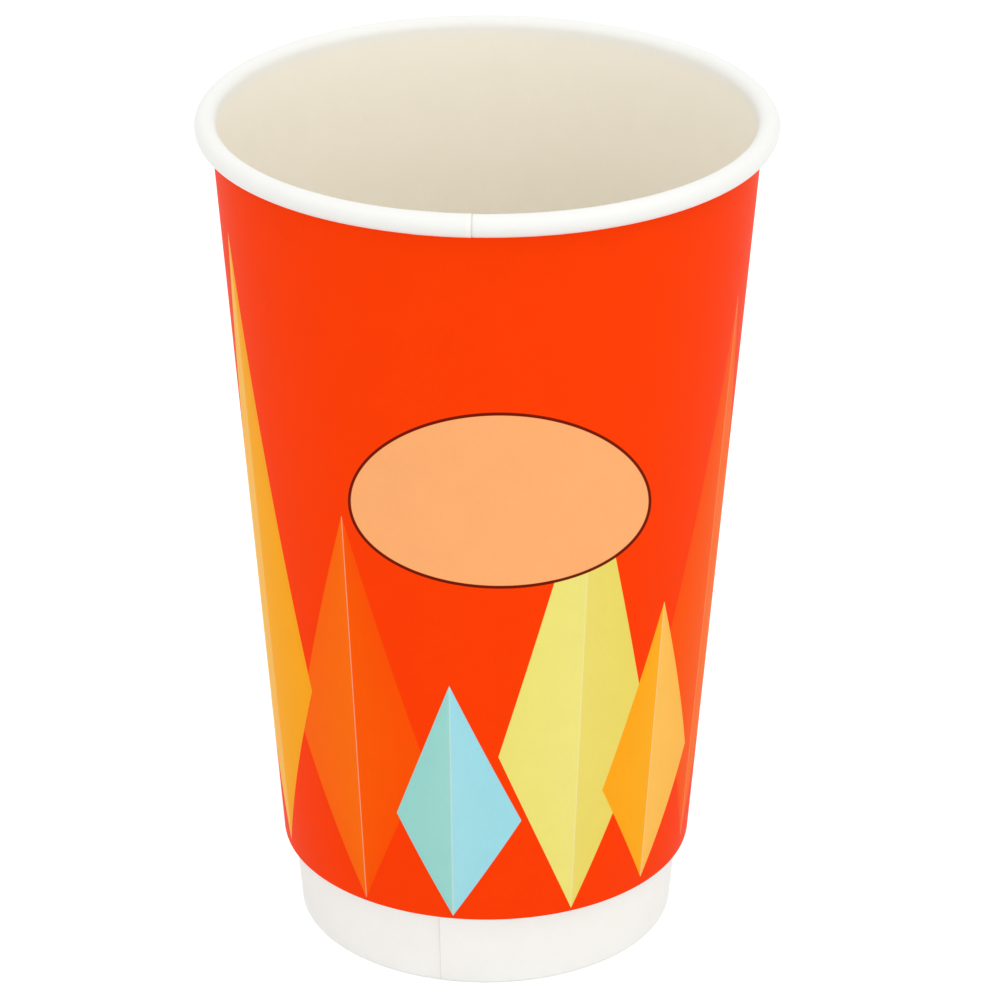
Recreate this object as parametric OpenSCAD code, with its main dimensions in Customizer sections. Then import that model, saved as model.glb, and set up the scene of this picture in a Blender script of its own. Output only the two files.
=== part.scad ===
// Double-wall paper cup for hot drinks, about 450 ml, in three pieces of board.
// The cup wall is rolled outwards at the rim and folded inwards at the foot.
// The base is a disc whose skirt is held in that fold.
// The printed outer sleeve leaves an air gap and stops short of the foot.
// The origin is on the axis, on the table. The front of the cup faces -Y.

/* [Cup] */
// Height of the cup, from the table to the top of the rim
cup_h = 137.8; // [110:0.2:170]
// Outer diameter of the rolled rim
rim_d = 90; // [84:0.5:98]
// Outer diameter of the foot, where it stands on the fold
foot_d = 61; // [54:0.2:68]

/* [Board] */
// Thickness of the board of the cup wall
wall_t = 0.35; // [0.25:0.05:0.45]
// Thickness of the board of the base
base_t = 0.3; // [0.2:0.05:0.4]
// Thickness of the board of the sleeve
sleeve_t = 0.3; // [0.2:0.05:0.4]
// Clearance between the plies that are sealed to each other at the foot
seal_gap = 0.05; // [0.03:0.01:0.1]
// Clearance of the glue line between the wall and the sleeve
glue_gap = 0.33; // [0.2:0.01:0.35]

/* [Rim] */
// Diameter of the rolled rim's section
roll_d = 3.44; // [3:0.02:4]
// Clearance between the tucked end of the roll and the wall
roll_gap = 0.12; // [0.1:0.01:0.2]

/* [Foot and floor] */
// Height of the floor's upper face above the table
floor_h = 8.3; // [7.5:0.1:12]
// Radius of the bend between the floor and its skirt, on the outside
bend_r = 0.8; // [0.6:0.1:1.2]
// Inner radius of the two bends of the wall's fold at the foot
fold_in_r = 0.08; // [0.05:0.01:0.12]
// Distance from the floor's bend down to the edge of the folded hem
hem_short = 1.2; // [0.6:0.1:3]

/* [Side seam of the wall] */
// Direction of the edge of the inner ply, seen on the rim, from the front towards the right
seam_at = -3; // [-60:1:60]
// Angle over which the two plies of the wall overlap
seam_lap = 10.5; // [8:0.5:14]
// Height of the step that the outer ply makes on the wall
seam_step = 0.15; // [0.1:0.01:0.18]
// Height above the bend at the foot over which the seam is pressed flat
seam_foot = 0.5; // [0.3:0.1:2]
// Height of the step that the seam makes on the rim
roll_step = 0.08; // [0.06:0.01:0.2]

/* [Sleeve] */
// Height of the sleeve's lower edge above the table
sleeve_foot_h = 13; // [11:0.1:25]
// Diameter of the curl at the sleeve's lower edge
curl_d = 1.32; // [1.1:0.02:1.8]
// Angle through which the curl turns
curl_turn = 225; // [180:5:260]
// Direction of the sleeve's seam, from the front towards the right
sleeve_seam_at = 174; // [120:1:240]
// Angle over which the two plies of the sleeve overlap
sleeve_lap = 12; // [8:0.5:16]
// Height of the step that the sleeve's outer ply makes
sleeve_step = 0.2; // [0.1:0.01:0.3]

/* [Colours] */
// Uncoated and coated white board
white_board = "#f4f3ee"; // color
// Ground colour of the print
print_ground = "#ff4100"; // color

/* [Hidden] */
$fa = 6;
$fs = 0.4;

// Radii of the rolled rim, of the bends at the foot and of the sleeve's curl
roll_r = roll_d / 2;
fold_r = wall_t + fold_in_r;
curl_r = curl_d / 2;
// The fold is as thick as the wall, the skirt and the hem that it holds together.
fold_t = 2 * wall_t + base_t + 2 * seal_gap;

// The wall is the straight run between two circles in the cup's section:
// the bend at the foot lies inside it and the roll at the rim outside it.
fold_c = [foot_d / 2 - fold_r, fold_r];
roll_c = [rim_d / 2 - roll_r, cup_h - roll_r];
reach = norm(roll_c - fold_c);
across = roll_r - wall_t + fold_r;
wall_angle = atan2(roll_c.x - fold_c.x, roll_c.y - fold_c.y) - asin(across / reach);
wall_run = sqrt(reach * reach - across * across);
// The cup stands on the flat strip between the fold's two bends.
foot_flat = (fold_t - 2 * fold_r) / cos(wall_angle);

// In the wall's own frame u is the distance out from its outer face,
// and v the distance up along it from where the bend ends.
out = [cos(wall_angle), -sin(wall_angle)];
up = [sin(wall_angle), cos(wall_angle)];
function wall_point(u, v) = fold_c + (fold_r + u) * out + v * up;
// The v at which the line at distance u crosses height z
function v_at(u, z) = (z - wall_point(u, 0).y) / up.y;

// The tucked end of the roll has a smaller radius, so it clears the wall.
tuck_r = roll_r - wall_t - roll_gap;
// Distances out from the wall's outer face to the skirt's outer face and to the bend's centre
skirt_u = -wall_t - seal_gap;
bend_u = skirt_u - bend_r;
bend_v = v_at(bend_u, floor_h - bend_r);
bend_c = wall_point(bend_u, bend_v);
hem_v = bend_v - hem_short;
// The curl touches the glue line, and so does the sleeve's upper edge below the roll.
curl_u = glue_gap + curl_r;
curl_v = v_at(curl_u, sleeve_foot_h + curl_r);
sleeve_rise = wall_run - roll_r - curl_v;
sleeve_tilt = atan2(curl_r, sleeve_rise)
    + asin((curl_r - sleeve_t) / norm([curl_r, sleeve_rise]));
sleeve_run = curl_r * sin(sleeve_tilt) + sleeve_rise * cos(sleeve_tilt);
// Angle by which a bend reaches into the level board beyond it, so that they join at any size
bend_reach = 0.01;
// Angle of a direction given from the front towards the right
function turned(direction) = direction - 90;

// Wedge with its point at the centre, which takes in all of a circle of radius r between two angles
module wedge(r, from, to) {
    steps = ceil((to - from) / 60);
    polygon([[0, 0], for (i = [0 : steps])
        let (a = from + (to - from) * i / steps) 1.5 * r * [cos(a), sin(a)]]);
}

// Part of a ring of board, from one angle to another, anticlockwise
module ring_part(r, t, from, to) {
    intersection() {
        difference() {
            circle(r);
            circle(r - t);
        }
        wedge(r, from, to);
    }
}

// Straight ply of board, t thick inwards from distance u, between two heights along it
module ply(u, t, v0, v1) {
    translate([u - t, v0]) square([t, v1 - v0]);
}

module in_wall_frame() {
    translate(fold_c) rotate(-wall_angle) translate([fold_r, 0]) children();
}

module in_sleeve_frame() {
    in_wall_frame() translate([curl_u, curl_v]) rotate(sleeve_tilt) translate([curl_r, 0]) children();
}

// A section turned about the axis over part of the way round, such as a seam
module turn_part(direction, angle) {
    rotate([0, 0, turned(direction) - angle]) rotate_extrude(angle = angle) children();
}

// The fold at the foot: the outer bend, the flat strip, the inner bend and the hem
module fold_section() {
    translate(fold_c) {
        rotate(-wall_angle) ring_part(fold_r, wall_t, wall_angle - 90 - bend_reach, 0);
        translate([-foot_flat, -fold_r]) square([foot_flat, wall_t]);
        translate([-foot_flat, 0]) rotate(-wall_angle) {
            ring_part(fold_r, wall_t, 180, 270 + wall_angle + bend_reach);
            ply(wall_t - fold_r, wall_t, 0, hem_v);
        }
    }
}

module wall_section() {
    fold_section();
    in_wall_frame() {
        ply(0, wall_t, 0, wall_run);
        translate([roll_r - wall_t, wall_run]) {
            ring_part(roll_r, wall_t, -90, 180);
            translate([0, tuck_r - roll_r]) ring_part(tuck_r, wall_t, 90, 270);
        }
    }
}

// The second ply of the wall's side seam, and the thicker roll over it
module wall_seam_section() {
    in_wall_frame() {
        ply(seam_step, seam_step + wall_t / 2, seam_foot, wall_run - roll_r);
        translate([roll_r - wall_t, wall_run])
            ring_part(roll_r + roll_step, roll_step + wall_t / 2, -60, 150);
    }
}

module cup_wall() {
    color(white_board) {
        rotate_extrude() wall_section();
        turn_part(seam_at, seam_lap) wall_seam_section();
    }
}

module base_section() {
    translate([0, floor_h - base_t]) square([bend_c.x, base_t]);
    translate(bend_c) rotate(-wall_angle) {
        ring_part(bend_r, base_t, 0, 90 + wall_angle + bend_reach);
        ply(bend_r, base_t, -bend_v, 0);
    }
}

module cup_base() {
    color(white_board) rotate_extrude() base_section();
}

module sleeve_section() {
    in_sleeve_frame() {
        ply(0, sleeve_t, 0, sleeve_run);
        translate([-curl_r, 0]) ring_part(curl_r, sleeve_t, -curl_turn, 0);
    }
}

// The second ply of the sleeve's seam, carried round the outside of the curl
module sleeve_seam_section() {
    in_sleeve_frame() {
        ply(sleeve_step, sleeve_step + sleeve_t / 2, 0, sleeve_run);
        translate([-curl_r, 0]) ring_part(curl_r + sleeve_step, sleeve_step + sleeve_t / 2, -90, 0);
    }
}

module outer_sleeve() {
    color(print_ground) {
        rotate_extrude() sleeve_section();
        turn_part(sleeve_seam_at, sleeve_lap) sleeve_seam_section();
    }
}

cup_wall();
cup_base();
outer_sleeve();
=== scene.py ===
import math
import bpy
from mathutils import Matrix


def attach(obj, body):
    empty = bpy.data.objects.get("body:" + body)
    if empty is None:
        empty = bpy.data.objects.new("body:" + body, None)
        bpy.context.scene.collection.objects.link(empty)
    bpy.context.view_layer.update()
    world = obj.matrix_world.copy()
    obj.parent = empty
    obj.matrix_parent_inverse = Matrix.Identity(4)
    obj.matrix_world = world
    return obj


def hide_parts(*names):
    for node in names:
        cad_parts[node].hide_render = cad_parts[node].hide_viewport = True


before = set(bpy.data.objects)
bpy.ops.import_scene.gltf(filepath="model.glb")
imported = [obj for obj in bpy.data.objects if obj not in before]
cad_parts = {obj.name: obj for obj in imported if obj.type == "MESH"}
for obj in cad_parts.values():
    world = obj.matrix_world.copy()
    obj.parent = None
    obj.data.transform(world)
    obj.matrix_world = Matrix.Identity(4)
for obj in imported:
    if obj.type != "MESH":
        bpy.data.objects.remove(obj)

from types import SimpleNamespace

import bpy
from bpy.props import FloatProperty, FloatVectorProperty, PointerProperty
from mathutils import Matrix, Vector

bl_info = {
    "name": "Double-wall Paper Cup",
    "version": (1, 0, 0),
    "blender": (4, 5, 0),
    "location": "View3D > Sidebar > Paper Cup",
    "description": "Board, print, stage and camera of a double-wall paper cup",
    "category": "Add Mesh",
}

MM = 0.001
QUARTER_TURN = math.radians(90)
FULL_TURN = 2 * math.pi
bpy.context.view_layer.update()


def from_screen(red, green, blue):
    """A colour as read off a screen, from 0 to 255, in the linear values that materials take."""
    shares = [value / 255 for value in (red, green, blue)]
    return tuple(((share + 0.055) / 1.055) ** 2.4 if share > 0.04 else share / 12.92 for share in shares)


def length(name, default, description):
    """Property: a length in metres."""
    return FloatProperty(
        name=name, default=default, description=description, unit="LENGTH", precision=5)


def angle(name, degrees, description):
    """Property: an angle."""
    return FloatProperty(
        name=name, default=math.radians(degrees), description=description, subtype="ANGLE")


def number(name, default, description):
    """Property: a plain number."""
    return FloatProperty(name=name, default=default, description=description)


def point(name, default, description):
    """Property: a place in metres."""
    return FloatVectorProperty(
        name=name, default=default, description=description, subtype="TRANSLATION", unit="LENGTH")


def colour(name, screen, description):
    """Property: a colour, given as read off a screen."""
    return FloatVectorProperty(
        name=name, default=from_screen(*screen), description=description, subtype="COLOR", min=0, max=1)


class CupSizes(bpy.types.PropertyGroup):
    """Sizes of the board pieces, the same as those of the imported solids."""
    rim_radius: length("Rim radius", 45 * MM, "Outer radius of the rolled rim")
    cup_height: length("Height", 137.8 * MM, "Height of the rim's top above the table")
    roll_radius: length("Roll radius", 1.72 * MM, "Outer radius of the rolled rim's section")
    roll_gap: length("Roll gap", 0.12 * MM, "Clearance between the tucked end of the roll and the wall")
    foot_radius: length("Foot radius", 30.5 * MM, "Outer radius of the foot")
    fold_inside: length("Fold radius", 0.08 * MM, "Inner radius of the two bends at the foot")
    hem_short: length("Hem short of bend", 1.2 * MM, "From the floor's bend down to the hem's edge")
    wall_board: length("Wall board", 0.35 * MM, "Thickness of the wall's board")
    base_board: length("Base board", 0.3 * MM, "Thickness of the base's board")
    sleeve_board: length("Sleeve board", 0.3 * MM, "Thickness of the sleeve's board")
    seal_gap: length("Seal gap", 0.05 * MM, "Clearance between sealed plies")
    glue_gap: length("Glue gap", 0.33 * MM, "Clearance between the wall and the sleeve")
    floor_height: length("Floor height", 8.3 * MM, "Height of the floor's upper face")
    floor_bend: length("Floor bend", 0.8 * MM, "Outer radius of the floor's bend into its skirt")
    sleeve_foot: length("Sleeve foot", 13 * MM, "Height of the sleeve's lower edge")
    curl_radius: length("Curl radius", 0.66 * MM, "Outer radius of the curl at the sleeve's lower edge")
    curl_turn: angle("Curl turn", 225, "Angle through which the curl turns")
    wall_seam: angle("Wall seam", -3, "Direction of the inner ply's edge, from the front to the right")
    wall_lap: angle("Wall lap", 10.5, "Angle over which the wall's plies overlap")
    sleeve_seam: angle("Sleeve seam", 174, "Direction of the inner ply's edge, measured likewise")
    sleeve_lap: angle("Sleeve lap", 12, "Angle over which the sleeve's plies overlap")
    wall_step_out: length("Wall step out", 0.29 * MM, "How far the wall's outer ply stands out")
    wall_step_in: length("Wall step in", 0.12 * MM, "How far the wall's inner ply stands in")
    roll_step: length("Roll step", 0.065 * MM, "How far the wall's outer ply gives way on the roll")
    sleeve_step_out: length("Sleeve step out", 0.2 * MM, "How far the sleeve's outer ply stands out")
    sleeve_step_in: length("Sleeve step in", 0.1 * MM, "How far the sleeve's inner ply stands in")


class CupPrint(bpy.types.PropertyGroup):
    """Sizes of the print. The badge is a true oval as seen from the stage's camera."""
    badge_slope: angle("Badge slope", 25.608, "Elevation of the direction in which the badge is an oval")
    badge_centre: length("Badge centre", 2.05 * MM, "Place of the badge's centre to the right of the axis")
    badge_rise: length("Badge rise", 64.07 * MM, "Height of the badge's centre, square to its direction")
    badge_half_width: length("Badge half width", 22.66 * MM, "Half the width of the badge's field")
    badge_half_height: length("Badge half height", 12.78 * MM, "Half the height of the badge's field")
    badge_line: length("Badge line", 0.44 * MM, "Width of the line round the badge")
    trim: length("Trim", 0.42 * MM, "Width of the unprinted line along the sleeve's lower edge")
    softness: length("Softness", 0.08 * MM, "Width over which one ink gives way to the next")


class CupColours(bpy.types.PropertyGroup):
    """Colours of the board and of the print."""
    board: colour("Board", (250, 250, 246), "White board, outside")
    lining: colour("Lining", (252, 246, 232), "Board seen through the film inside the cup")
    roll: colour("Roll", (242, 242, 238), "Board stretched over the rolled rim")
    cut_edge: colour("Cut edge", (232, 225, 210), "Cut edge of the board")
    trim: colour("Trim", (255, 255, 255), "Unprinted line along the sleeve's lower edge")
    # Painted highlight: a lighter band on the roll beside the inner ply's edge, where light catches its
    # curve
    highlit: colour("Highlit edge", (251, 248, 239), "Board crushed along the edge of a ply on the roll")
    # Painted shadow: the dark line in the gap along a ply's edge
    seam_shadow: colour("Seam line", (190, 188, 182), "Shadowed line along the edge of a ply")
    ground: colour("Ground", (255, 62, 0), "Ground of the print")
    yellow: colour("Yellow", (241, 232, 130), "Pale yellow of the print")
    yellow_shade: colour("Yellow shade", (238, 222, 112), "Deeper half of the yellow kites")
    amber: colour("Amber", (255, 176, 34), "Amber of the print")
    amber_light: colour("Light amber", (255, 196, 92), "Lighter half of the amber kites")
    orange: colour("Orange", (255, 92, 0), "Orange of the print")
    orange_light: colour("Light orange", (255, 112, 14), "Lighter half of the orange kites")
    blue: colour("Blue", (166, 226, 236), "Light blue of the print")
    teal: colour("Teal", (160, 220, 212), "Green half of the blue kites")
    badge: colour("Badge", (255, 178, 115), "Field of the oval badge")
    badge_line: colour("Badge line", (112, 24, 4), "Line round the oval badge")


class CupStage(bpy.types.PropertyGroup):
    """Camera, lamps and floor."""
    lens: number("Focal length", 161.77, "Focal length of the camera, in millimetres")
    sensor: number("Sensor", 36, "Width of the camera's sensor, in millimetres")
    nearest: length("Nearest", 10 * MM, "Distance at which the camera begins to see")
    distance: length("Distance", 718.9 * MM, "From the camera to the point on the axis that it looks at")
    aim_height: length("Aim height", 70 * MM, "Height of the point that the camera and the lamps face")
    elevation: angle("Elevation", 25.608, "Angle of the camera above the level")
    pan: angle("Pan", -0.171, "Turn of the camera to the left")
    tilt: angle("Tilt", 0.101, "Turn of the camera upwards")
    bank: angle("Bank", -0.092, "Turn of the camera about its own axis")
    sky: number("Sky", 0.9, "Strength of the even light from all round")
    lamp_side: length("Lamp side", 0.7, "Side of each of the square lamps")
    key: number("Key lamp", 2.3, "Power of the lamp high on the right, in watts")
    key_at: point("Key lamp's place", (0.72, -0.42, 1.15), "Place of the lamp high on the right")
    fill: number("Fill lamp", 1.1, "Power of the lamp high on the left, in watts")
    fill_at: point("Fill lamp's place", (-0.62, -0.2, 1.2), "Place of the lamp high on the left")
    front: number("Front lamp", 1.5, "Power of the low lamp in front, in watts")
    front_at: point("Front lamp's place", (0.1, -1.3, 0.45), "Place of the low lamp in front")
    floor_size: length("Floor", 4.0, "Side of the floor")
    floor_tone: number("Floor tone", 0.8, "Share of the light that the floor gives back")
    floor_lift: number("Floor lift", 0.4, "Light added to the floor as the camera sees it")


# A piece is modelled as by hand: its section is drawn in the plane y = 0, with x outwards and z up,
# and then spun about the cup's axis.
SEED_SIZE = 1 * MM
WELD = 0.001 * MM


def start_section(name, first):
    """Add a mesh that is one vertex, at the first point of a section, and enter edit mode."""
    bpy.ops.object.select_all(action="DESELECT")
    bpy.ops.mesh.primitive_plane_add(size=SEED_SIZE, location=(first[0], 0, first[1]))
    piece = bpy.context.object
    piece.name = name
    piece.data.name = name
    bpy.ops.object.transform_apply(location=True)
    bpy.ops.object.mode_set(mode="EDIT")
    bpy.ops.mesh.select_mode(type="VERT")
    bpy.ops.mesh.select_all(action="SELECT")
    bpy.ops.mesh.merge(type="CENTER")
    return piece


def run_on(step, cuts=1):
    """Draw the section on by a straight step, in a number of equal cuts."""
    move = {"value": (step[0] / cuts, 0, step[1] / cuts)}
    for _ in range(cuts):
        bpy.ops.mesh.extrude_region_move(TRANSFORM_OT_translate=move)


def bend_on(centre, turn, cuts):
    """Draw the section on round a centre; a positive turn goes from x towards z."""
    bpy.ops.mesh.spin(steps=cuts, angle=turn, center=(centre[0], 0, centre[1]), axis=(0, 1, 0))


def spin_on(turn, cuts):
    """Spin what is selected on round the cup's axis."""
    bpy.ops.mesh.spin(steps=cuts, angle=turn, center=(0, 0, 0), axis=(0, 0, -1))


def weigh(piece, group, share, rise):
    """Give the selected ring a weight in a group, as a share that also depends on the height."""
    bpy.ops.object.mode_set(mode="OBJECT")
    for vertex in piece.data.vertices:
        if vertex.select:
            piece.vertex_groups[group].add([vertex.index], share * rise(vertex.co.z), "REPLACE")
    bpy.ops.object.mode_set(mode="EDIT")


def eased(share):
    """A share from 0 to 1, made to start and end gently."""
    share = min(max(share, 0), 1)
    return share * share * (3 - 2 * share)


def apply_modifier(piece, kind, name, **settings):
    """Add a modifier with its settings to a piece, and apply it."""
    modifier = piece.modifiers.new(name, kind)
    for key, value in settings.items():
        setattr(modifier, key, value)
    bpy.ops.object.modifier_apply(modifier=modifier.name)


def face_outwards(piece):
    """Point the faces of a sheet away from the cup's axis."""
    bpy.ops.object.mode_set(mode="EDIT")
    bpy.ops.mesh.select_all(action="SELECT")
    bpy.ops.mesh.normals_make_consistent(inside=False)
    bpy.ops.object.mode_set(mode="OBJECT")
    outward = 0
    for face in piece.data.polygons:
        away = Vector((face.center.x, face.center.y, 0))
        outward += face.area * face.normal.dot(away)
    if outward < 0:
        bpy.ops.object.mode_set(mode="EDIT")
        bpy.ops.mesh.flip_normals()
        bpy.ops.object.mode_set(mode="OBJECT")


# A lapped piece is spun in steps: through the lap, then down the outer ply's ramp, round the rest,
# up the inner ply's ramp and through the lap again. The release ends what is pressed.
TURN_STEP = math.radians(1.5)
LAP_CUTS = 8
RAMP = math.radians(4.5)
RAMP_CUTS = 5
RELEASE = math.radians(0.3)
PRESSED = "pressed"
PRESSED_THICKNESS = 0.5


def everywhere(z):
    """Rise of what is the same at every height."""
    return 1


def nowhere(z):
    """Rise of what is left out at every height."""
    return 0


def spin_lapped(piece, lap, outer_step, outer_rise, inner_step, inner_rise,
                pressed_step=0, pressed_rise=nowhere):
    """Spin a section round by a full turn and a lap, and part the plies of the lap.

    The steps are those of the outer and the inner ply, and of the outer ply where the lap
    is pressed to the thickness of one board. The rises give their shares at a height.
    """
    for group in ("outer_ply", "inner_ply", "pressed_ply", PRESSED):
        piece.vertex_groups.new(name=group)
    bpy.ops.mesh.select_all(action="SELECT")
    weigh(piece, "outer_ply", 1, outer_rise)
    weigh(piece, "pressed_ply", 1, pressed_rise)
    weigh(piece, PRESSED, 1, pressed_rise)
    spin_on(lap, LAP_CUTS)
    spin_on(RELEASE, 1)
    weigh(piece, "pressed_ply", 0, nowhere)
    weigh(piece, PRESSED, 0, nowhere)
    for cut in range(1, RAMP_CUTS + 1):
        spin_on(RAMP / RAMP_CUTS, 1)
        weigh(piece, "outer_ply", eased(1 - cut / RAMP_CUTS), outer_rise)
    rest = FULL_TURN - lap - RELEASE - 2 * RAMP
    spin_on(rest, round(rest / TURN_STEP))
    for cut in range(1, RAMP_CUTS + 1):
        spin_on(RAMP / RAMP_CUTS, 1)
        weigh(piece, "inner_ply", eased(cut / RAMP_CUTS), inner_rise)
        weigh(piece, PRESSED, eased(cut / RAMP_CUTS), pressed_rise)
    spin_on(lap, LAP_CUTS)
    bpy.ops.object.mode_set(mode="OBJECT")
    face_outwards(piece)
    steps = {"outer_ply": outer_step, "inner_ply": -inner_step, "pressed_ply": pressed_step}
    for group, step in steps.items():
        if step:
            apply_modifier(piece, "DISPLACE", group, direction="NORMAL", mid_level=0,
                           strength=step, vertex_group=group)


def turn_to(piece, direction):
    """Turn a piece about the cup's axis, from where its section was drawn to a direction."""
    piece.rotation_euler.z = direction - QUARTER_TURN
    bpy.ops.object.transform_apply(rotation=True)


SMOOTH_BELOW = math.radians(35)


def make_board(piece, thickness, outside, inside, edge):
    """Give a sheet its materials, the thickness of its board and smooth shading."""
    for material in (outside, inside, edge):
        piece.data.materials.append(material)
    apply_modifier(piece, "SOLIDIFY", "board", thickness=thickness, offset=0, use_even_offset=True,
                   use_rim=True, material_offset=1, material_offset_rim=2,
                   vertex_group=PRESSED, invert_vertex_group=True,
                   thickness_vertex_group=PRESSED_THICKNESS)
    bpy.ops.object.shade_smooth_by_angle(angle=SMOOTH_BELOW)


def stand_for(piece, node):
    """Let a finished piece ride on the frame and stand for its solid."""
    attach(piece, "root")
    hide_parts(node)


# The lines that the three sections share
def wall_line(s):
    """The wall's straight run, from the bend at the foot to the roll at the rim."""
    fold_radius = s.wall_board + s.fold_inside
    fold = Vector((s.foot_radius - fold_radius, fold_radius))
    roll = Vector((s.rim_radius - s.roll_radius, s.cup_height - s.roll_radius))
    reach = roll - fold
    across = s.roll_radius - s.wall_board + fold_radius
    lean = math.atan2(reach.x, reach.y) - math.asin(across / reach.length)
    return SimpleNamespace(
        fold=fold, roll=roll, lean=lean, fold_radius=fold_radius,
        out=Vector((math.cos(lean), -math.sin(lean))),
        up=Vector((math.sin(lean), math.cos(lean))),
        run=math.sqrt(reach.length_squared - across ** 2))


def on_wall(line, u, v):
    """The point at a distance u out from the wall's outer face and v up along it."""
    return line.fold + (line.fold_radius + u) * line.out + v * line.up


def along_wall(line, u, height):
    """The v at which the line at a distance u crosses a height."""
    return (height - on_wall(line, u, 0).y) / line.up.y


def floor_line(s, line):
    """Centre of the bend between the floor and its skirt, and its v along the wall."""
    u = -s.wall_board - s.seal_gap - s.floor_bend
    v = along_wall(line, u, s.floor_height - s.floor_bend)
    return SimpleNamespace(centre=on_wall(line, u, v), v=v)


def sleeve_line(s, line):
    """The sleeve's straight run, tilted back so that it meets the wall under the roll."""
    u = s.glue_gap + s.curl_radius
    v = along_wall(line, u, s.sleeve_foot + s.curl_radius)
    rise = line.run - s.roll_radius - v
    tilt = math.atan2(s.curl_radius, rise)
    tilt += math.asin((s.curl_radius - s.sleeve_board) / math.hypot(s.curl_radius, rise))
    lean = line.lean - tilt
    return SimpleNamespace(
        centre=on_wall(line, u, v), lean=lean,
        out=Vector((math.cos(lean), -math.sin(lean))),
        up=Vector((math.sin(lean), math.cos(lean))),
        run=s.curl_radius * math.sin(tilt) + rise * math.cos(tilt))


# Shader nodes
def feed(tree, socket, value):
    """Link a socket to another, or set it to a value."""
    if isinstance(value, bpy.types.NodeSocket):
        tree.links.new(value, socket)
    elif socket.type == "RGBA":
        socket.default_value = (*value[:3], 1)
    else:
        socket.default_value = value


def add_node(tree, kind, inputs=None, **settings):
    """Add a shader node, with settings and with values or links for its named inputs."""
    node = tree.nodes.new("ShaderNode" + kind)
    for key, value in settings.items():
        setattr(node, key, value)
    for title, value in (inputs or {}).items():
        feed(tree, node.inputs[title], value)
    return node


def calc(tree, operation, *values, clamp=False):
    """The result of a sum on values or sockets."""
    node = add_node(tree, "Math", operation=operation, use_clamp=clamp)
    for socket, value in zip(node.inputs, values):
        feed(tree, socket, value)
    return node.outputs[0]


def blend_colours(tree, share, first, second):
    """A colour that goes from the first to the second as the share goes from 0 to 1."""
    node = add_node(tree, "Mix", {0: share, 6: first, 7: second}, data_type="RGBA")
    return node.outputs[2]


def scale_colour(tree, tint, share):
    """A colour times a share."""
    return add_node(tree, "VectorMath", {0: tint, "Scale": share}, operation="SCALE").outputs[0]


def split(tree, vector):
    """The X, Y and Z of a vector."""
    return add_node(tree, "SeparateXYZ", {0: vector}).outputs


def radius_of(tree, coords):
    """Distance of a point from the cup's axis."""
    part = split(tree, coords)
    level = add_node(tree, "CombineXYZ", {"X": part["X"], "Y": part["Y"]}).outputs[0]
    return add_node(tree, "VectorMath", {0: level}, operation="LENGTH").outputs["Value"]


def seen_directly(tree):
    """1 where the camera sees a thing, straight or in a glossy or clear surface, and otherwise 0."""
    path = add_node(tree, "LightPath").outputs
    seen = calc(tree, "ADD", path["Is Camera Ray"], path["Is Glossy Ray"], clamp=True)
    return calc(tree, "ADD", seen, path["Is Transmission Ray"], clamp=True)


def start_group(name, inputs, outputs):
    """A new node group, with the sockets of its named inputs and outputs."""
    group = bpy.data.node_groups.new(name, "ShaderNodeTree")
    for title, kind in inputs.items():
        group.interface.new_socket(title, in_out="INPUT", socket_type="NodeSocket" + kind)
    for title, kind in outputs.items():
        group.interface.new_socket(title, in_out="OUTPUT", socket_type="NodeSocket" + kind)
    given = group.nodes.new("NodeGroupInput").outputs
    wanted = group.nodes.new("NodeGroupOutput").inputs
    return group, given, wanted


def place(tree, group, inputs):
    """Place a group in a tree, with values or links for its named inputs."""
    node = tree.nodes.new("ShaderNodeGroup")
    node.node_tree = group
    for title, value in inputs.items():
        feed(tree, node.inputs[title], value)
    return node.outputs


# The fibres of board lie along the cup's height. Its height map is a fibre noise plus a share of a cloud.
FIBRES_DRAWN = (1, 1, 0.35)
FIBRE_ROUGHNESS = 0.6
CLOUD_SHARE = 0.8
MIDDLE = 0.5


def board_grain():
    """Group: the fibres and the cloudy formation of board, as a tone round 1 and a height."""
    if "Board grain" in bpy.data.node_groups:
        return bpy.data.node_groups["Board grain"]
    group, given, wanted = start_group(
        "Board grain",
        {"Vector": "Vector", "Fibre": "Float", "Cloud": "Float", "Variation": "Float"},
        {"Tone": "Float", "Height": "Float"})
    drawn = add_node(group, "VectorMath", {0: given["Vector"], 1: FIBRES_DRAWN}, operation="MULTIPLY")
    fibre = add_node(group, "TexNoise", {
        "Vector": drawn.outputs[0], "Scale": calc(group, "DIVIDE", 1, given["Fibre"]),
        "Detail": 3, "Roughness": FIBRE_ROUGHNESS}).outputs[0]
    cloud = add_node(group, "TexNoise", {
        "Vector": given["Vector"], "Scale": calc(group, "DIVIDE", 1, given["Cloud"]),
        "Detail": 2}).outputs[0]
    both = calc(group, "ADD", calc(group, "SUBTRACT", fibre, MIDDLE),
                calc(group, "SUBTRACT", cloud, MIDDLE))
    feed(group, wanted["Tone"], calc(group, "MULTIPLY_ADD", both, given["Variation"], 1))
    feed(group, wanted["Height"], calc(group, "MULTIPLY_ADD", cloud, CLOUD_SHARE, fibre))
    return group


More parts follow.
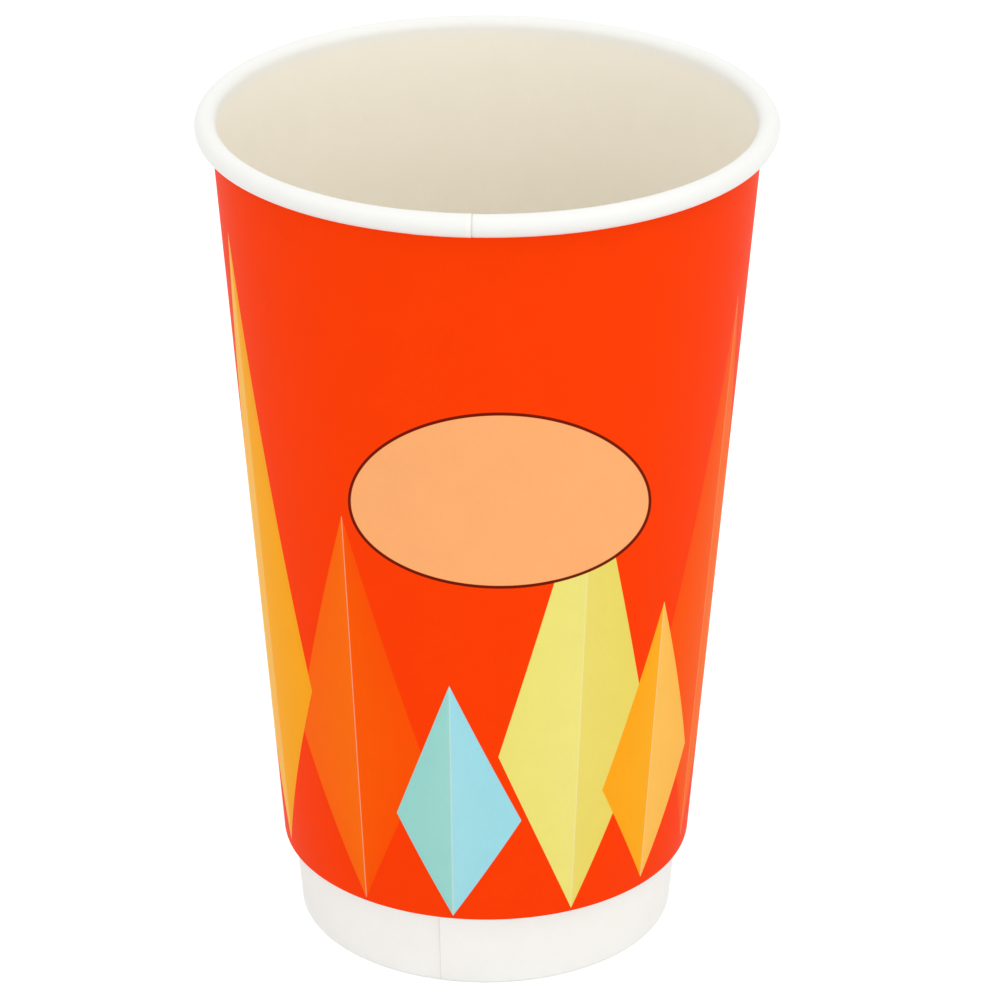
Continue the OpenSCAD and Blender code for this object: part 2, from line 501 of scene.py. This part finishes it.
def ply_edge():
    """Group: a strip along the edge of a ply, by its place to the right of the edge and its width."""
    if "Ply edge" in bpy.data.node_groups:
        return bpy.data.node_groups["Ply edge"]
    group, given, wanted = start_group(
        "Ply edge",
        {"Vector": "Vector", "Direction": "Float", "Offset": "Float", "Width": "Float",
         "Softness": "Float"},
        {"Strip": "Float"})
    part = split(group, given["Vector"])
    sine = calc(group, "SINE", given["Direction"])
    cosine = calc(group, "COSINE", given["Direction"])
    across = calc(group, "MULTIPLY_ADD", part["X"], cosine, calc(group, "MULTIPLY", part["Y"], sine))
    ahead = calc(group, "SUBTRACT", calc(group, "MULTIPLY", part["X"], sine),
                 calc(group, "MULTIPLY", part["Y"], cosine))
    off = calc(group, "ABSOLUTE", calc(group, "SUBTRACT", across, given["Offset"]))
    beyond = calc(group, "SUBTRACT", off, calc(group, "MULTIPLY", given["Width"], 0.5))
    strip = calc(group, "SUBTRACT", 0.5, calc(group, "DIVIDE", beyond, given["Softness"]), clamp=True)
    on_this_side = calc(group, "GREATER_THAN", ahead, 0)
    feed(group, wanted["Strip"], calc(group, "MULTIPLY", strip, on_this_side))
    return group


def hem_ribs():
    """Group: the fine upright ribs that a knurling wheel presses into the hem, as a height."""
    group, given, wanted = start_group(
        "Hem ribs",
        {"Vector": "Vector", "Pitch": "Float", "Radius": "Float", "Slope": "Float", "Top": "Float"},
        {"Height": "Float"})
    part = split(group, given["Vector"])
    reach = calc(group, "MULTIPLY_ADD", part["Z"], given["Slope"], given["Radius"])
    inside = calc(group, "SUBTRACT", reach, radius_of(group, given["Vector"]))
    masked = calc(group, "MULTIPLY", calc(group, "GREATER_THAN", inside, 0),
                  calc(group, "LESS_THAN", part["Z"], given["Top"]))
    turned = calc(group, "ARCTAN2", part["X"], part["Y"])
    count = calc(group, "ROUND", calc(group, "DIVIDE", given["Radius"], given["Pitch"]))
    wave = calc(group, "SINE", calc(group, "MULTIPLY", turned, count))
    feed(group, wanted["Height"], calc(group, "MULTIPLY", wave, masked))
    return group


def sleeve_blank():
    """Group: a point's place on the sleeve's flat blank, as a direction and a slant from the tip."""
    group, given, wanted = start_group(
        "Sleeve blank",
        {"Vector": "Vector", "Tip Height": "Float", "Lean": "Float"},
        {"Direction": "Float", "Slant": "Float"})
    part = split(group, given["Vector"])
    forwards = calc(group, "MULTIPLY", part["Y"], -1)
    feed(group, wanted["Direction"], calc(group, "ARCTAN2", part["X"], forwards))
    above = calc(group, "SUBTRACT", part["Z"], given["Tip Height"])
    feed(group, wanted["Slant"], calc(group, "DIVIDE", above, calc(group, "COSINE", given["Lean"])))
    return group


# Distance from its middle at which a crease has faded out, in widths of a soft edge
CREASE_REACH = 1.6
# Least half width of a kite over which its shade deepens
SMALLEST_HALF = 1 * MM


def kite():
    """Group: a kite on the flat blank, as masks of its field, its right half, its crease and its shade."""
    group, given, wanted = start_group(
        "Kite",
        {"Direction": "Float", "Slant": "Float", "Lean": "Float", "Centre": "Float", "Foot": "Float",
         "Widest": "Float", "Tip": "Float", "Left": "Float", "Right": "Float", "Softness": "Float"},
        {"Field": "Float", "Right Half": "Float", "Crease": "Float", "Fold Shade": "Float"})
    away = calc(group, "SUBTRACT", given["Direction"], given["Centre"])
    turned = calc(group, "WRAP", away, math.pi, -math.pi)
    flat = calc(group, "MULTIPLY", turned, calc(group, "SINE", given["Lean"]))
    across = calc(group, "MULTIPLY", given["Slant"], calc(group, "SINE", flat))
    up = calc(group, "MULTIPLY", given["Slant"], calc(group, "COSINE", flat))
    right = calc(group, "MULTIPLY_ADD", calc(group, "DIVIDE", across, given["Softness"]), 1, 0.5,
                 clamp=True)
    above = calc(group, "DIVIDE", calc(group, "SUBTRACT", given["Tip"], up),
                 calc(group, "SUBTRACT", given["Tip"], given["Widest"]))
    below = calc(group, "DIVIDE", calc(group, "SUBTRACT", up, given["Foot"]),
                 calc(group, "SUBTRACT", given["Widest"], given["Foot"]))
    share = calc(group, "MINIMUM", above, below)
    wider = calc(group, "SUBTRACT", given["Right"], given["Left"])
    side = calc(group, "MULTIPLY_ADD", wider, right, given["Left"])
    half = calc(group, "MULTIPLY", share, side)
    off = calc(group, "ABSOLUTE", across)
    inside = calc(group, "DIVIDE", calc(group, "SUBTRACT", half, off), given["Softness"])
    field = calc(group, "ADD", inside, 0.5, clamp=True)
    near = calc(group, "SUBTRACT", CREASE_REACH, calc(group, "DIVIDE", off, given["Softness"]),
                clamp=True)
    shade = calc(group, "DIVIDE", off, calc(group, "MAXIMUM", half, SMALLEST_HALF), clamp=True)
    feed(group, wanted["Field"], field)
    feed(group, wanted["Right Half"], right)
    feed(group, wanted["Crease"], calc(group, "MULTIPLY", near, field))
    feed(group, wanted["Fold Shade"], shade)
    return group


def oval():
    """Group: an upright oval printed on the front, as a mask of its field and one of its line."""
    group, given, wanted = start_group(
        "Oval",
        {"Vector": "Vector", "Slope": "Float", "Centre X": "Float", "Centre Rise": "Float",
         "Half Width": "Float", "Half Height": "Float", "Line": "Float", "Softness": "Float"},
        {"Field": "Float", "Line": "Float"})
    part = split(group, given["Vector"])
    rise = calc(group, "ADD", calc(group, "MULTIPLY", part["Y"], calc(group, "SINE", given["Slope"])),
                calc(group, "MULTIPLY", part["Z"], calc(group, "COSINE", given["Slope"])))
    x = calc(group, "DIVIDE", calc(group, "SUBTRACT", part["X"], given["Centre X"]),
             given["Half Width"])
    y = calc(group, "DIVIDE", calc(group, "SUBTRACT", rise, given["Centre Rise"]),
             given["Half Height"])
    square = calc(group, "ADD", calc(group, "MULTIPLY", x, x), calc(group, "MULTIPLY", y, y))
    steep_x = calc(group, "DIVIDE", x, given["Half Width"])
    steep_y = calc(group, "DIVIDE", y, given["Half Height"])
    steep = calc(group, "SQRT", calc(group, "ADD", calc(group, "MULTIPLY", steep_x, steep_x),
                                     calc(group, "MULTIPLY", steep_y, steep_y)))
    off = calc(group, "DIVIDE", calc(group, "SUBTRACT", square, 1), calc(group, "MULTIPLY", steep, 2))
    front = calc(group, "LESS_THAN", part["Y"], 0)
    inner = calc(group, "SUBTRACT", 0.5, calc(group, "DIVIDE", off, given["Softness"]), clamp=True)
    wide = calc(group, "DIVIDE", calc(group, "SUBTRACT", off, given["Line"]), given["Softness"])
    outer = calc(group, "SUBTRACT", 0.5, wide, clamp=True)
    feed(group, wanted["Field"], calc(group, "MULTIPLY", inner, front))
    ring = calc(group, "SUBTRACT", outer, inner)
    feed(group, wanted["Line"], calc(group, "MULTIPLY", ring, front))
    return group


# Finishes: the sizes of fibre and cloud, the variation of tone, the roughness and its sway,
# the depth of the relief and the strength of the reflection
BOARD_FINISH = {"fibre": 0.22 * MM, "cloud": 3.5 * MM, "variation": 0.045,
                "roughness": 0.62, "sway": 0.15, "relief": 0.012 * MM, "specular": 0.25}
FILM_FINISH = {"fibre": 0.5 * MM, "cloud": 5 * MM, "variation": 0.03,
               "roughness": 0.4, "sway": 0.12, "relief": 0.010 * MM, "specular": 0.35}
EDGE_FINISH = {"fibre": 0.12 * MM, "cloud": 1.2 * MM, "variation": 0.12,
               "roughness": 0.85, "sway": 0.1, "relief": 0.03 * MM, "specular": 0.2}
PRINT_FINISH = {"fibre": 0.35 * MM, "cloud": 6 * MM, "variation": 0.06,
                "roughness": 0.52, "sway": 0.1, "relief": 0.008 * MM, "specular": 0.03}


def start_material(name):
    """A new material, with its shader's inputs and the piece's own coordinates."""
    material = bpy.data.materials.new(name)
    material.use_nodes = True
    tree = material.node_tree
    shader = tree.nodes["Principled BSDF"].inputs
    coords = tree.nodes.new("ShaderNodeTexCoord").outputs["Object"]
    return SimpleNamespace(material=material, tree=tree, shader=shader, coords=coords)


def finish_board(made, base, fibre, cloud, variation, roughness, sway, relief, specular):
    """Tone, roughness and relief of board or film, all from the same grain."""
    tree = made.tree
    grain = place(tree, board_grain(), {
        "Vector": made.coords, "Fibre": fibre, "Cloud": cloud, "Variation": variation})
    feed(tree, made.shader["Base Color"], scale_colour(tree, base, grain["Tone"]))
    mean_height = MIDDLE * (1 + CLOUD_SHARE)
    above_mean = calc(tree, "SUBTRACT", grain["Height"], mean_height)
    feed(tree, made.shader["Roughness"], calc(tree, "MULTIPLY_ADD", above_mean, sway, roughness))
    feed(tree, made.shader["Specular IOR Level"], specular)
    bump = add_node(tree, "Bump", {"Strength": 1, "Distance": relief, "Height": grain["Height"]})
    feed(tree, made.shader["Normal"], bump.outputs[0])
    return bump


def plain_material(name, tint, finish):
    """Board of one colour with its grain, made when a piece first needs it."""
    if name in bpy.data.materials:
        return bpy.data.materials[name]
    made = start_material(name)
    finish_board(made, tint, **finish)
    return made.material


def plain_board(colours):
    """Uncoated white board: the underside of the base and the back of the sleeve."""
    return plain_material("Plain board", colours.board, BOARD_FINISH)


def floor_film(colours):
    """Film-coated board of the cup's floor."""
    return plain_material("Floor film", colours.lining, FILM_FINISH)


def cut_edge(colours):
    """Cut edge of the board, on all pieces."""
    return plain_material("Cut edge", colours.cut_edge, EDGE_FINISH)


# Strips painted along the edges of the wall's plies, a painted shadow line or a painted highlight band:
# place to the right of the edge, width, and share of their colour
# Painted shadow line along the outer ply's edge on the foot
OUTSIDE_SHADOW_LINE = (-0.08 * MM, 0.14 * MM, 0.4)
# Painted highlight band on the roll, beside the inner ply's edge
PAINTED_HIGHLIGHT_BAND = (-0.4 * MM, 0.7 * MM, 0.6)
# Painted shadow line along the inner ply's edge on the roll
INSIDE_SHADOW_LINE = (0.16 * MM, 0.1 * MM, 0.5)
STRIP_SOFTNESS = 0.08 * MM


def paint_strip(made, base, strip, direction, tint):
    """A colour with a strip of another along the edge of a ply, such as a painted shadow line or a painted
    highlight band.
    """
    offset, width, share = strip
    mask = place(made.tree, ply_edge(), {
        "Vector": made.coords, "Direction": direction, "Offset": offset, "Width": width,
        "Softness": STRIP_SOFTNESS})["Strip"]
    return blend_colours(made.tree, calc(made.tree, "MULTIPLY", mask, share), base, tint)


RIB_PITCH = 0.14 * MM
RIB_DEPTH = 0.05 * MM
RIBS_INSIDE_FOOT = 0.6 * MM
RIBS_UP_TO = 7 * MM


def board_material(sizes, colours):
    """Uncoated white board: the outside of the wall, with a painted shadow line along the seam and the
    hem's ribs.
    """
    made = start_material("White board")
    outer_edge = sizes.wall_seam - sizes.wall_lap
    # Painted shadow along the outer ply's edge
    base = paint_strip(made, colours.board, OUTSIDE_SHADOW_LINE, outer_edge, colours.seam_shadow)
    grain = finish_board(made, base, **BOARD_FINISH)
    ribs = place(made.tree, hem_ribs(), {
        "Vector": made.coords, "Pitch": RIB_PITCH, "Radius": sizes.foot_radius - RIBS_INSIDE_FOOT,
        "Slope": wall_line(sizes).lean, "Top": RIBS_UP_TO})["Height"]
    pressed = add_node(made.tree, "Bump", {
        "Strength": 1, "Distance": RIB_DEPTH, "Height": ribs, "Normal": grain.outputs[0]})
    feed(made.tree, made.shader["Normal"], pressed.outputs[0])
    return made.material


# The lining's cream gives way to white between these depths below the top, and on the roll's outside
CREAM_ENDS_FROM = 4 * MM
CREAM_ENDS_TO = 0.6 * MM
ROLL_OUTSIDE = 2.6 * MM


def lining_material(sizes, colours):
    """Film-coated board: cream in the depth of the cup, whiter where it is stretched over the roll, with a
    painted highlight band and a painted shadow line along the inner ply's edge.
    """
    made = start_material("Film lining")
    tree = made.tree
    on_roll = add_node(tree, "MapRange", {
        "Value": split(tree, made.coords)["Z"],
        "From Min": sizes.cup_height - CREAM_ENDS_FROM,
        "From Max": sizes.cup_height - CREAM_ENDS_TO}, interpolation_type="SMOOTHSTEP").outputs[0]
    outside = calc(tree, "GREATER_THAN", radius_of(tree, made.coords), sizes.rim_radius - ROLL_OUTSIDE)
    base = blend_colours(tree, calc(tree, "MAXIMUM", on_roll, outside), colours.lining, colours.roll)
    # Painted highlight: a lighter band beside the inner ply's edge on the roll
    base = paint_strip(made, base, PAINTED_HIGHLIGHT_BAND, sizes.wall_seam, colours.highlit)
    # Painted shadow along the inner ply's edge on the roll
    base = paint_strip(made, base, INSIDE_SHADOW_LINE, sizes.wall_seam, colours.seam_shadow)
    finish_board(made, base, **FILM_FINISH)
    return made.material


# The first kites lie under the later ones, and the orange ones under all.
KITES = (
    # direction, left, right, foot, widest and tip in mm, left and right colour
    (-35, 13, 12, 1, 29, 71, "orange_light", "orange"),
    (-101, 10, 9, 2, 20, 47, "orange", "orange_light"),
    (71, 14, 13, 3, 40, 100, "orange", "orange_light"),
    (-72, 13, 14, 2, 36, 110, "amber_light", "amber"),
    (104, 12, 12, 2, 30, 78, "yellow_shade", "yellow"),
    (-157, 13, 12, 2, 36, 104, "amber", "amber_light"),
    (24, 13, 13, 1, 31, 84, "yellow", "yellow_shade"),
    (-128, 12, 12, 1, 28, 68, "yellow", "yellow_shade"),
    (48, 10, 11, 2, 22, 53, "amber", "amber_light"),
    (-9, 9, 11, 1, 19, 44, "teal", "blue"),
    (131, 11, 10, 1, 22, 50, "teal", "blue"),
)
FOLD_DEPTH = 0.1
CREASE_SHARE = 0.3
CREASE_TINT = (1, 0.9, 0.75)


def add_kites(made, ink, sizes, colours, softness):
    """The kites, each in two tones that deepen away from a pale crease."""
    tree = made.tree
    sleeve = sleeve_line(sizes, wall_line(sizes))
    face = sleeve.centre + sizes.curl_radius * sleeve.out
    tip_height = face.y - face.x / math.tan(sleeve.lean)
    edge = (sizes.sleeve_foot - tip_height) / math.cos(sleeve.lean)
    blank = place(tree, sleeve_blank(), {
        "Vector": made.coords, "Tip Height": tip_height, "Lean": sleeve.lean})
    shape = kite()
    for direction, left, right, foot, widest, tip, left_ink, right_ink in KITES:
        mask = place(tree, shape, {
            "Direction": blank["Direction"], "Slant": blank["Slant"], "Lean": sleeve.lean,
            "Centre": math.radians(direction), "Left": left * MM, "Right": right * MM,
            "Foot": edge + foot * MM, "Widest": edge + widest * MM, "Tip": edge + tip * MM,
            "Softness": softness})
        own = blend_colours(tree, mask["Right Half"],
                            getattr(colours, left_ink), getattr(colours, right_ink))
        depth = calc(tree, "MULTIPLY_ADD", mask["Fold Shade"], FOLD_DEPTH, 1)
        own = add_node(tree, "Gamma", {"Color": own, "Gamma": depth}).outputs[0]
        own = blend_colours(tree, calc(tree, "MULTIPLY", mask["Crease"], CREASE_SHARE), own, CREASE_TINT)
        ink = blend_colours(tree, mask["Field"], ink, own)
    return ink


def print_material(sizes, layout, colours):
    """The sleeve's print: a red-orange ground, kites with a crease, and a plain oval badge."""
    made = start_material("Sleeve print")
    tree = made.tree
    ink = add_kites(made, colours.ground, sizes, colours, layout.softness)
    badge = place(tree, oval(), {
        "Vector": made.coords, "Slope": layout.badge_slope, "Centre X": layout.badge_centre,
        "Centre Rise": layout.badge_rise, "Half Width": layout.badge_half_width,
        "Half Height": layout.badge_half_height, "Line": layout.badge_line,
        "Softness": layout.softness})
    ink = blend_colours(tree, badge["Field"], ink, colours.badge)
    ink = blend_colours(tree, badge["Line"], ink, colours.badge_line)
    above = calc(tree, "SUBTRACT", split(tree, made.coords)["Z"], sizes.sleeve_foot + layout.trim)
    printed = calc(tree, "MULTIPLY_ADD", above, 1 / layout.softness, 0.5, clamp=True)
    ink = blend_colours(tree, printed, colours.trim, ink)
    finish_board(made, ink, **PRINT_FINISH)
    return made.material


WHITE = (1, 1, 1)


def floor_material(tone, lift):
    """Pale floor that looks white where no shadow falls on it."""
    material = bpy.data.materials.new("Pale floor")
    material.use_nodes = True
    tree = material.node_tree
    tree.nodes.remove(tree.nodes["Principled BSDF"])
    matt = add_node(tree, "BsdfDiffuse", {"Color": (tone, tone, tone)})
    strength = calc(tree, "MULTIPLY", seen_directly(tree), lift)
    glow = add_node(tree, "Emission", {"Color": WHITE, "Strength": strength})
    both = add_node(tree, "AddShader", {0: matt.outputs[0], 1: glow.outputs[0]})
    feed(tree, tree.nodes["Material Output"].inputs["Surface"], both.outputs[0])
    return material


# Rings of the wall that the seam needs: one low in the fold, two where the inner ply rises above
# the floor, and some where the lap is pressed below the roll. Distances along the wall.
LOW_RING = 1.2 * MM
RISE_FROM = 9 * MM
RISE_TO = 12 * MM
PRESS_LENGTH = 3 * MM
# The outer ply leaves the wall just above the bend at the foot, over this height.
PART_FROM = 0.45 * MM
PART_OVER = 1.15 * MM
# Shares of the inner ply's step: in the fold, where the skirt is close, then above it, then pressed
SHARE_IN_FOLD = 0.3
SHARE_ABOVE_FLOOR = 0.3
SHARE_PRESSED = 0.4


class PAPERCUP_OT_wall(bpy.types.Operator):
    """Model the cup's inner wall, with its rolled rim, side seam and folded foot"""
    bl_idname = "papercup.wall"
    bl_label = "Cup Wall"

    def execute(self, context):
        s = context.scene.cup_sizes
        colours = context.scene.cup_colours
        line = wall_line(s)
        floor = floor_line(s, line)
        half = s.wall_board / 2
        fold_thickness = 2 * s.wall_board + s.base_board + 2 * s.seal_gap
        flat = (fold_thickness - 2 * line.fold_radius) / math.cos(line.lean)
        hem = floor.v - s.hem_short
        hem_fold = line.fold - Vector((flat, 0))
        hem_edge = hem_fold - (line.fold_radius - half) * line.out + hem * line.up
        pressed_at = s.cup_height - 2 * s.roll_radius
        pressed_from = pressed_at - PRESS_LENGTH
        press_start = along_wall(line, -half, pressed_from)
        press_end = along_wall(line, -half, pressed_at)

        piece = start_section("wall_board", hem_edge)
        run_on(-(hem - LOW_RING) * line.up, cuts=2)
        run_on(-LOW_RING * line.up)
        bend_on(hem_fold, QUARTER_TURN + line.lean, cuts=6)
        run_on((flat, 0))
        bend_on(line.fold, QUARTER_TURN - line.lean, cuts=6)
        run_on(LOW_RING * line.up)
        run_on((RISE_FROM - LOW_RING) * line.up, cuts=2)
        run_on((RISE_TO - RISE_FROM) * line.up, cuts=2)
        run_on((press_start - RISE_TO) * line.up, cuts=7)
        run_on((press_end - press_start) * line.up, cuts=3)
        run_on((line.run - press_end) * line.up)
        roll_middle = s.roll_radius - half
        bend_on(line.roll, -3 * QUARTER_TURN, cuts=18)
        tuck_middle = s.roll_radius - s.wall_board - s.roll_gap - half
        bend_on(line.roll - (roll_middle - tuck_middle) * line.up, -2 * QUARTER_TURN, cuts=8)

        def pressed(z):
            """How far the lap is pressed to the thickness of one board at a height."""
            return eased((z - pressed_from) / (pressed_at - pressed_from))

        def outer(z):
            """Share of the outer ply's step at a height."""
            return eased((z - PART_FROM) / PART_OVER) * (1 - pressed(z))

        def inner(z):
            """Share of the inner ply's step at a height."""
            risen = eased((z - RISE_FROM) / (RISE_TO - RISE_FROM))
            return SHARE_IN_FOLD + SHARE_ABOVE_FLOOR * risen + SHARE_PRESSED * pressed(z)

        spin_lapped(piece, s.wall_lap, s.wall_step_out, outer, s.wall_step_in, inner,
                    s.roll_step, pressed)
        turn_to(piece, s.wall_seam - s.wall_lap)
        outside = board_material(s, colours)
        make_board(piece, s.wall_board, outside, lining_material(s, colours), cut_edge(colours))
        stand_for(piece, "cup_wall")
        return {"FINISHED"}


class PAPERCUP_OT_base(bpy.types.Operator):
    """Model the cup's base, a disc with its skirt turned down into the fold at the foot"""
    bl_idname = "papercup.base"
    bl_label = "Cup Base"

    def execute(self, context):
        s = context.scene.cup_sizes
        colours = context.scene.cup_colours
        line = wall_line(s)
        floor = floor_line(s, line)
        piece = start_section("base_board", (0, s.floor_height - s.base_board / 2))
        run_on((floor.centre.x, 0), cuts=6)
        bend_on(floor.centre, -QUARTER_TURN - line.lean, cuts=8)
        run_on(-floor.v * line.up, cuts=3)
        bpy.ops.mesh.select_all(action="SELECT")
        spin_on(FULL_TURN, cuts=180)
        bpy.ops.mesh.select_all(action="SELECT")
        bpy.ops.mesh.remove_doubles(threshold=WELD)
        bpy.ops.object.mode_set(mode="OBJECT")
        face_outwards(piece)
        make_board(piece, s.base_board, floor_film(colours), plain_board(colours), cut_edge(colours))
        stand_for(piece, "cup_base")
        return {"FINISHED"}


class PAPERCUP_OT_sleeve(bpy.types.Operator):
    """Model the printed outer sleeve, with its seam at the back and its curled lower edge"""
    bl_idname = "papercup.sleeve"
    bl_label = "Outer Sleeve"

    def execute(self, context):
        s = context.scene.cup_sizes
        colours = context.scene.cup_colours
        sleeve = sleeve_line(s, wall_line(s))
        middle = sleeve.centre + (s.curl_radius - s.sleeve_board / 2) * sleeve.out
        piece = start_section("sleeve_board", middle + sleeve.run * sleeve.up)
        run_on(-sleeve.run * sleeve.up, cuts=16)
        bend_on(sleeve.centre, -s.curl_turn, cuts=15)
        spin_lapped(piece, s.sleeve_lap, s.sleeve_step_out, everywhere, s.sleeve_step_in, everywhere)
        turn_to(piece, s.sleeve_seam - s.sleeve_lap)
        outside = print_material(s, context.scene.cup_print, colours)
        make_board(piece, s.sleeve_board, outside, plain_board(colours), cut_edge(colours))
        stand_for(piece, "outer_sleeve")
        return {"FINISHED"}


def camera_frame(stage):
    """The camera's place and turn: it looks at a point on the axis, then is turned a little."""
    back = Vector((0, -math.cos(stage.elevation), math.sin(stage.elevation)))
    right = Vector((1, 0, 0))
    ahead = -back
    up = right.cross(ahead)
    pan = Matrix.Rotation(stage.pan, 3, up)
    ahead, right = pan @ ahead, pan @ right
    tilt = Matrix.Rotation(stage.tilt, 3, right)
    ahead, up = tilt @ ahead, tilt @ up
    bank = Matrix.Rotation(stage.bank, 3, ahead)
    right, up = bank @ right, bank @ up
    matrix = Matrix((right, up, -ahead)).transposed().to_4x4()
    matrix.translation = Vector((0, 0, stage.aim_height)) + stage.distance * back
    return matrix


def add_lamp(name, place_at, power, stage):
    """Add a square lamp that faces the cup."""
    bpy.ops.object.light_add(type="AREA", location=place_at)
    lamp = bpy.context.object
    lamp.name = name
    lamp.data.size = stage.lamp_side
    lamp.data.energy = power
    aim = Vector((0, 0, stage.aim_height)) - lamp.location
    lamp.rotation_euler = aim.to_track_quat("-Z", "Y").to_euler()


class PAPERCUP_OT_stage(bpy.types.Operator):
    """Add the floor, the lamps, the white surroundings and the camera"""
    bl_idname = "papercup.stage"
    bl_label = "Stage"

    def execute(self, context):
        scene = context.scene
        stage = scene.cup_stage
        bpy.ops.object.select_all(action="DESELECT")
        bpy.ops.mesh.primitive_plane_add(size=stage.floor_size)
        floor = context.object
        floor.name = "floor"
        floor.data.materials.append(floor_material(stage.floor_tone, stage.floor_lift))

        world = bpy.data.worlds.new("White surroundings")
        world.use_nodes = True
        scene.world = world
        tree = world.node_tree
        background = tree.nodes["Background"].inputs
        strength = calc(tree, "MULTIPLY_ADD", seen_directly(tree), 1 - stage.sky, stage.sky)
        feed(tree, background["Color"], WHITE)
        feed(tree, background["Strength"], strength)

        add_lamp("key_lamp", stage.key_at, stage.key, stage)
        add_lamp("fill_lamp", stage.fill_at, stage.fill, stage)
        add_lamp("front_lamp", stage.front_at, stage.front, stage)

        bpy.ops.object.camera_add()
        camera = context.object
        camera.name = "camera"
        camera.data.sensor_width = stage.sensor
        camera.data.lens = stage.lens
        camera.data.clip_start = stage.nearest
        camera.matrix_world = camera_frame(stage)
        scene.camera = camera
        scene.view_settings.view_transform = "Standard"
        return {"FINISHED"}


class PAPERCUP_PT_panel(bpy.types.Panel):
    """The steps that make the cup, with its sizes, print, colours and stage"""
    bl_idname = "PAPERCUP_PT_panel"
    bl_label = "Paper Cup"
    bl_space_type = "VIEW_3D"
    bl_region_type = "UI"
    bl_category = "Paper Cup"

    def draw(self, context):
        for step in STEPS:
            self.layout.operator(step.bl_idname)
        for group in GROUPS:
            box = self.layout.box()
            settings = getattr(context.scene, group)
            for title in settings.__annotations__:
                box.prop(settings, title)


GROUPS = {"cup_sizes": CupSizes, "cup_print": CupPrint, "cup_colours": CupColours, "cup_stage": CupStage}
STEPS = (PAPERCUP_OT_wall, PAPERCUP_OT_base, PAPERCUP_OT_sleeve, PAPERCUP_OT_stage)
CLASSES = (*GROUPS.values(), *STEPS, PAPERCUP_PT_panel)


def register():
    """Register the classes, and hang their settings on the scene."""
    for item in CLASSES:
        bpy.utils.register_class(item)
    for name, kind in GROUPS.items():
        setattr(bpy.types.Scene, name, PointerProperty(type=kind))


def unregister():
    """Undo what register did."""
    for name in GROUPS:
        delattr(bpy.types.Scene, name)
    for item in reversed(CLASSES):
        bpy.utils.unregister_class(item)


def main():
    """Make the cup and its stage."""
    register()
    bpy.ops.papercup.wall()
    bpy.ops.papercup.base()
    bpy.ops.papercup.sleeve()
    bpy.ops.papercup.stage()


if __name__ == "__main__":
    main()
